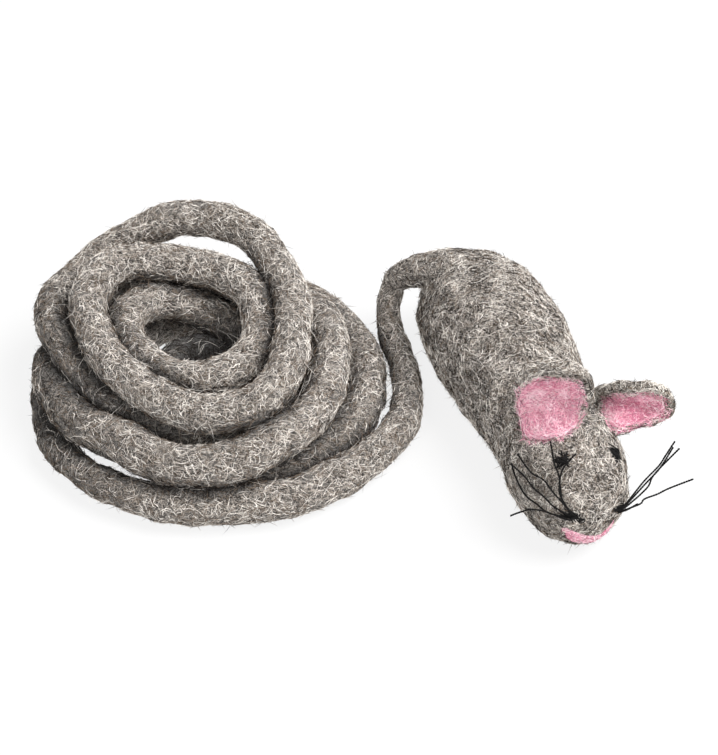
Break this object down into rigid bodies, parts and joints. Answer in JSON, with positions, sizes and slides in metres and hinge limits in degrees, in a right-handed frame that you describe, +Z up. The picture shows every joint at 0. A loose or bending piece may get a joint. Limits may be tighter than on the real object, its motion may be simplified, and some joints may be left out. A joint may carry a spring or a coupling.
{
  "type": "felted wool mouse toy with a long rope tail",
  "caption": "Hand-felted grey wool mouse with flexing cupped ears, thread whiskers and a very long felt-rope tail that swings from its root and lies in a loose coil.",
  "frame": {"origin": "middle of the box of the mouse without its tail, on the surface it stands on", "axes": "+Z up; the mouse faces -Y, so +Y runs from the nose to the rump; +X is the mouse's own left"},
  "size_m": [0.2247, 0.1976, 0.0657],
  "materials": {
    "grey_felt": "marled wet-felted wool, matt and hairy",
    "pink_felt": "dusty rose craft felt, matt",
    "core_wool": "undyed carded wool, matt",
    "black_thread": "twisted black thread, matt"
  },
  "bodies": {
    "mouse": {"body_felt": "grey_felt", "wool_core": "core_wool", "eye_right": "black_thread", "eye_left": "black_thread", "mouth_patch": "pink_felt", "whisker_anchor": "black_thread", "whisker_stitch_right": "black_thread", "whisker_stitch_left": "black_thread", "whisker_right_1": "black_thread", "whisker_right_2": "black_thread", "whisker_right_3": "black_thread", "whisker_right_4": "black_thread", "whisker_right_5": "black_thread", "whisker_right_6": "black_thread", "whisker_left_1": "black_thread", "whisker_left_2": "black_thread", "whisker_left_3": "black_thread", "whisker_left_4": "black_thread", "whisker_left_5": "black_thread", "tail_root": "grey_felt"},
    "ear_right": {"ear_felt_right": "grey_felt", "ear_lining_right": "pink_felt"},
    "ear_left": {"ear_felt_left": "grey_felt", "ear_lining_left": "pink_felt"},
    "tail": {"tail_free": "grey_felt", "tail_coil": "grey_felt"}
  },
  "joints": [
    {"name": "ear_right_flex", "type": "hinge", "parent": "mouse", "child": "ear_right", "pos_m": [-0.0118, -0.04479, 0.04082], "axis": [0.9353, -0.3221, 0.1463], "range_deg": [-25, 35], "stiffness_Nm_per_rad": 0.02},
    {"name": "ear_left_flex", "type": "hinge", "parent": "mouse", "child": "ear_left", "pos_m": [0.01205, -0.0442, 0.03479], "axis": [0.2591, -0.1902, -0.9469], "range_deg": [-20, 20], "stiffness_Nm_per_rad": 0.02},
    {"name": "tail_swing", "type": "hinge", "parent": "mouse", "child": "tail", "pos_m": [-0.0298, 0.0664, 0.023], "axis": [0, 0, -1], "range_deg": [0, 80]}
  ]
}
